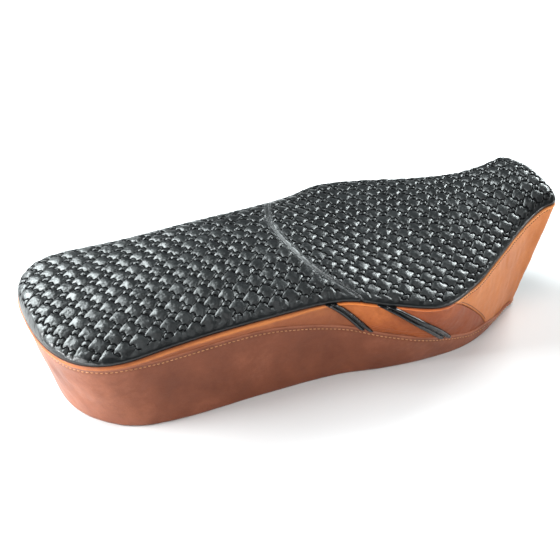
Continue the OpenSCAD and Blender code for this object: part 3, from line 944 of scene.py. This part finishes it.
rounding = X0 + REAR_ROUND * (1 - np.cos(np.radians(np.linspace(0, 90, 90))) ** 0.8)
rear_upright = np.concatenate([rounding, np.arange(X0 + REAR_ROUND + 2, LAST_UPRIGHT, 2.0)])
REAR_LINES = np.concatenate([upright(rear_upright),
                             lines_from([(LAST_UPRIGHT, LAST_UPRIGHT),
                                         seam_pair(STRIP_REAR, 0, STRIP_LAP)], 1.6)])
MIDDLE_LINES = lines_from([seam_pair(STRIP_REAR, 1, -STRIP_LAP),
                           seam_pair(STRIP_FRONT, 0, STRIP_LAP)], 1.4)
FRONT_LINES = lines_from([seam_pair(STRIP_FRONT, 1, -STRIP_LAP),
                          (CHEEK_SEAM[0] + 0.4, CHEEK_SEAM[1] + 0.4)], 1.4)
nose_turn = X1 - NOSE_ROUND * (1 - np.linspace(0, 1, 8)[1:] * 0.75)
CHEEK_LINES = np.concatenate([lines_from([CHEEK_SEAM, (X1 - NOSE_ROUND, X1 - NOSE_ROUND)], 1.8),
                              upright(nose_turn)])
for side, hand in ((-1, "right"), (1, "left")):
    panel(f"rear_panel_{hand}", REAR_LINES, side, 26, rear_profile, BAND,
          f"side_panel_rear_{hand}", (0, 1.2), (40, 0.4))
    panel(f"middle_panel_{hand}", MIDDLE_LINES, side, 34, middle_profile, MIDDLE,
          f"side_panel_middle_{hand}", (2.0, 2.0), (22, 0.6))
    panel(f"front_panel_{hand}", FRONT_LINES, side, 44, front_profile, FRONT,
          f"side_panel_front_{hand}", (2.0, 2.0), (30, 0.5))
    outer, out = panel(f"cheek_panel_{hand}", CHEEK_LINES, side, 60, cheek_profile, CHEEK,
                       f"cheek_{hand}", (1.6, 1.0), (45, 0.7))
    row = np.argmin(np.abs(lengths(outer, 1)[len(outer) // 2] - CHEEK_SEWN))
    column = np.argmin(np.abs(lengths(outer, 0)[:, outer.shape[1] // 2] - 5.0))
    for name, pick in (("cheek_stitches", np.s_[6:-3, row]),
                       ("cheek_seam_stitches", np.s_[column, 8:-6])):
        fit(row_stitches(f"{name}_{hand}", outer[pick] + out[pick] * 0.1, out[pick],
                         3.8, 2.6, 0.45), RUST_THREAD)
    for where, pair in (("rear", STRIP_REAR), ("front", STRIP_FRONT)):
        panel(f"{where}_strip_{hand}", lines_from(pair, 0.7), side, 50, strip_profile, STRIP,
              f"strip_{where}_{hand}", (0.8, 0.8), (16, 0.3))


# ---- pieces that run round the seat ----
def ring_line(places, at):
    """Places round the whole seat, evenly apart along the line at share `at` of the height."""
    fine = np.concatenate([X0 + 60 * np.linspace(0, 1, 2500) ** 2,
                           np.linspace(X0 + 60, X1 - 30, 3000)[1:],
                           X1 - 30 * np.linspace(1, 0, 2500)[1:] ** 2])
    s = lengths(side_point(fine, np.full(fine.shape, at), 0.0, -1)[None], 1)[0]
    count = int(s[-1] / places)
    x = np.interp(np.linspace(0, s[-1], count + 1), s, fine)
    return (np.concatenate([x, x[-2:0:-1]]),
            np.concatenate([np.full(len(x), -1.0), np.full(len(x) - 2, 1.0)]))


def hem_ring(ring, inward, z):
    """The hem's line, moved in by inward and up to z."""
    p = side_point(ring[0], np.ones(len(ring[0])), inward, ring[1])
    p[:, 2] = z
    return p


def nose_cover():
    """The plain black panel between the cheeks."""
    ring_x, ring_side = ring_line(1.0, 0.3)
    part = ring_x >= CHEEK_END
    f = spaced(1.0, 0.008, 1 / 70)
    t = (skirt_at(ring_x[part]) + BELOW / edge_z(ring_x[part]))[:, None] * f[None]
    grid = side_point(spread(ring_x[part], f), t, 0.0, spread(ring_side[part], f))
    out = normals(grid, lambda p: (1, 0, 0))
    down, along = lengths(grid, 1), lengths(grid, 0)
    height, width = down[:, -1:], along[-1:]
    lift = (1.6 * arch(down / height, 0.6) + rounded(down, 2.2)
            + rounded(along + 0.2, 1.5) + rounded(width - along + 0.2, 1.5)
            + ripples(grid, 30, 71) * 0.5)
    nose = shell("nose_cover", grid + out * lift[..., None], grid - out * LEATHER,
                 {"lines": np.zeros(grid.shape[:2])})
    fit(nose, PLAIN_BLACK, ["nose_panel"])


# Distances from the skirt's top edge to its first rows, then shares of the rest
SKIRT_TOP = np.array([0, 0.4, 0.9, 1.6, 2.5, 3.3, 4.0, 4.8, 6.0, 8.0])
SKIRT_REST = np.linspace(0, 1, 30)[1:]
HEM_TURN = 2.5  # radius of the hem's fold
SEWN_ROW = 8  # the row of the skirt that the topstitching follows


def skirt_rows(face):
    """Distance of each row from the skirt's top edge; face is the skirt's height."""
    count = len(face)
    down = np.concatenate([np.broadcast_to(SKIRT_TOP, (count, len(SKIRT_TOP))),
                           SKIRT_TOP[-1] + SKIRT_REST[None] * (face[:, None] - 10.5)], 1)
    return np.minimum(down, face[:, None] - HEM_TURN
                      + np.linspace(-0.5, 0, down.shape[1])[None])


def skirt_lift(grid, down, share, face):
    """How far the skirt stands out: slack, folds, its sewn edge and a slight crown."""
    slope = grid @ np.array([0.75, 0.2, 0.0]) + down * 0.9
    folds = (ripples(grid, 95, 41, (1, 1, 0.7)) * 1.1 + ripples(grid, 38, 42, (1, 1, 0.6)) * 0.45
             + np.sin(slope / 15 + 2.2 * ripples(grid, 120, 43)) * 0.35)
    return (folds * arch(share, 0.8) * np.clip(face[:, None] / 60, 0.25, 1)
            + 1.3 * np.exp(-down / 9) + rounded(down, 1.6) - bead(down, 6.0, 0.8, 0.5)
            + 0.6 * arch(share))


def lower_skirt():
    ring = ring_x, ring_side = ring_line(2.0, 0.6)
    count = len(ring_x)
    start = skirt_at(ring_x)
    face = (1 - start) * edge_z(ring_x)
    down = skirt_rows(face)
    t = start[:, None] + down / edge_z(ring_x)[:, None]
    wide_x, wide_side = spread(ring_x, t[0]), spread(ring_side, t[0])
    grid = side_point(wide_x, t, 0.0, wide_side)
    closed = np.concatenate([grid[-1:], grid, grid[:1]])
    out = normals(closed, lambda p: (p[0], p[1], 0))[1:-1]
    facing = np.sign(np.sum(out * (grid * [1, 1, 0]), -1, keepdims=True))
    out = out * np.where(facing == 0, 1, facing)
    share = np.clip(down / np.maximum(face[:, None], 1), 0, 1)
    outer = grid + out * skirt_lift(grid, down, share, face)[..., None]
    fold = [(HEM_TURN * (1 - math.cos(a)), HEM_TURN * (1 - math.sin(a)))
            for a in np.radians([15, 32, 50, 70, 90])] + [(5.0, 0.0), (5.2, 0.45), (3.4, 1.0)]
    hem = np.stack([hem_ring(ring, inward, z) for inward, z in fold], 1)
    back = np.linspace(t.shape[1] - 1, 0, 12).round().astype(int)
    inner = side_point(wide_x[:, back], t[:, back], LEATHER - 0.3, wide_side[:, back])
    # painted light and shade with the leather's own uneven tone: a painted highlight along the
    # top fold, painted shade in the sunk topstitch line, painted light towards the front (half as
    # much at the bottom) and at the rear end; the ripples are the uneven tone
    painted_light_and_tone = (0.42 + bead(down, 1.2, 1.4, 0.4) + ripples(grid, 60, 44) * 0.12
            - bead(down, 6.2, 1.3, 0.3))
    painted_light_and_tone = painted_light_and_tone + 0.3 * smooth((ring_x[:, None] - 40) / 140) * (1 - 0.5 * share)
    painted_light_and_tone = painted_light_and_tone + 0.28 * smooth((-ring_x[:, None] - 215) / 60)
    painted_light_and_tone = np.concatenate([painted_light_and_tone, np.full((count, len(fold) + len(back)), 0.4)], 1)
    skirt = loop_solid("skirt", np.concatenate([outer, hem, inner], 1), {"painted_light_and_tone": painted_light_and_tone})
    fit(skirt, SKIRT, ["lower_skirt"])
    order = np.concatenate([np.arange(count), [0]])
    row, ups = outer[order, SEWN_ROW], out[order, SEWN_ROW]
    fit(row_stitches("skirt_stitches", row + ups * 0.1, ups, 5.0, 3.4, 0.5), TAN_THREAD)


def pull_strip():
    """The strip that is sewn to the hem and turned under the pan's rim."""
    ring = ring_line(3.0, 1.0)
    i = np.arange(len(ring[0]))
    wave = np.sin(i * 0.9 + 2 * np.sin(i * 0.13)) * 0.16
    under = [hem_ring(ring, inward, 0.95 + wave * math.sin(math.pi * k / 11))
             for k, inward in enumerate(np.linspace(3.6, 3.2 + HEM_W, 12))]
    over = [p + [0, 0, 0.55] for p in under[::-1]]
    pull = loop_solid("pull_strip_sheet", np.stack(under + over, 1))
    fit(pull, VINYL, ["pull_strip"])


nose_cover()
lower_skirt()
pull_strip()

# ---- floor, lights and camera ----
FLOOR_HALF, FLOOR_GAP = 8, 0.0005
floor_mesh = bpy.data.meshes.new("floor")
floor_mesh.from_pydata([(x * FLOOR_HALF, y * FLOOR_HALF, 0)
                        for x, y in ((-1, -1), (1, -1), (1, 1), (-1, 1))], [], [(0, 1, 2, 3)])
floor = bpy.data.objects.new("floor", floor_mesh)
bpy.context.collection.objects.link(floor)
floor.location.z = low[2] - FLOOR_GAP
paint, _, shader, _ = new_material("floor_paint", 0.9)
shader.inputs["Base Color"].default_value = (0.74, 0.74, 0.74, 1)
floor_mesh.materials.append(paint)
floor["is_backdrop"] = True

world = bpy.data.worlds.new("studio")
world.use_nodes = True
sky = world.node_tree.nodes["Background"]
sky.inputs["Color"].default_value = (0.93, 0.97, 1.0, 1)
sky.inputs["Strength"].default_value = 0.08
bpy.context.scene.world = world


def softbox(name, place, aim, size, power, colour=(1, 1, 1)):
    """A soft rectangular lamp, in metres and watts."""
    data = bpy.data.lights.new(name, "AREA")
    data.shape = "RECTANGLE"
    data.size, data.size_y = size
    data.energy = power
    data.color = colour
    lamp = bpy.data.objects.new(name, data)
    lamp.location = place
    lamp.rotation_euler = (Vector(aim) - Vector(place)).to_track_quat("-Z", "Y").to_euler()
    bpy.context.collection.objects.link(lamp)


# The far lamps stand where the quilting's flanks mirror them to the camera
COOL, COOLISH = (0.91, 0.99, 1.0), (0.96, 0.99, 1.0)
softbox("far_rear", (-0.8, 1.35, 1.12), (-0.26, 0.0, 0.1), (1.5, 0.9), 92, COOL)
softbox("far_front", (1.7, 1.06, 1.04), (0.26, 0.0, 0.1), (0.7, 0.5), 42, COOL)
softbox("rear", (-2.0, 0.3, 1.0), (-0.05, 0.0, 0.1), (0.9, 0.6), 76, COOLISH)
softbox("top", (0.1, 0.2, 2.7), (0.0, 0.0, 0.1), (1.2, 1.2), 8)
softbox("front_right", (1.6, -1.1, 0.8), (0.22, -0.1, 0.08), (0.6, 0.6), 26)
softbox("rear_right", (-1.7, -1.1, 0.7), (-0.25, -0.1, 0.06), (0.6, 0.6), 29)

# The photo's view: from the rear right, 25 degrees round and 32 degrees up
AIM = Vector((-0.0059, 0.0344, 0.0468))
AZIMUTH, ELEVATION, DISTANCE = math.radians(-24.8), math.radians(31.6), 1.5363
SENSOR, FOCAL, FAR = 36, 83.93, 60
back = Vector((math.sin(AZIMUTH) * math.cos(ELEVATION), -math.cos(AZIMUTH) * math.cos(ELEVATION),
               math.sin(ELEVATION)))
lens = bpy.data.cameras.new("camera")
lens.sensor_width, lens.lens, lens.clip_end = SENSOR, FOCAL, FAR
camera = bpy.data.objects.new("camera", lens)
camera.location = AIM + back * DISTANCE
camera.rotation_euler = back.to_track_quat("Z", "Y").to_euler()
bpy.context.collection.objects.link(camera)
bpy.context.scene.camera = camera
bpy.context.scene.view_settings.view_transform = "Standard"

low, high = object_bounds()
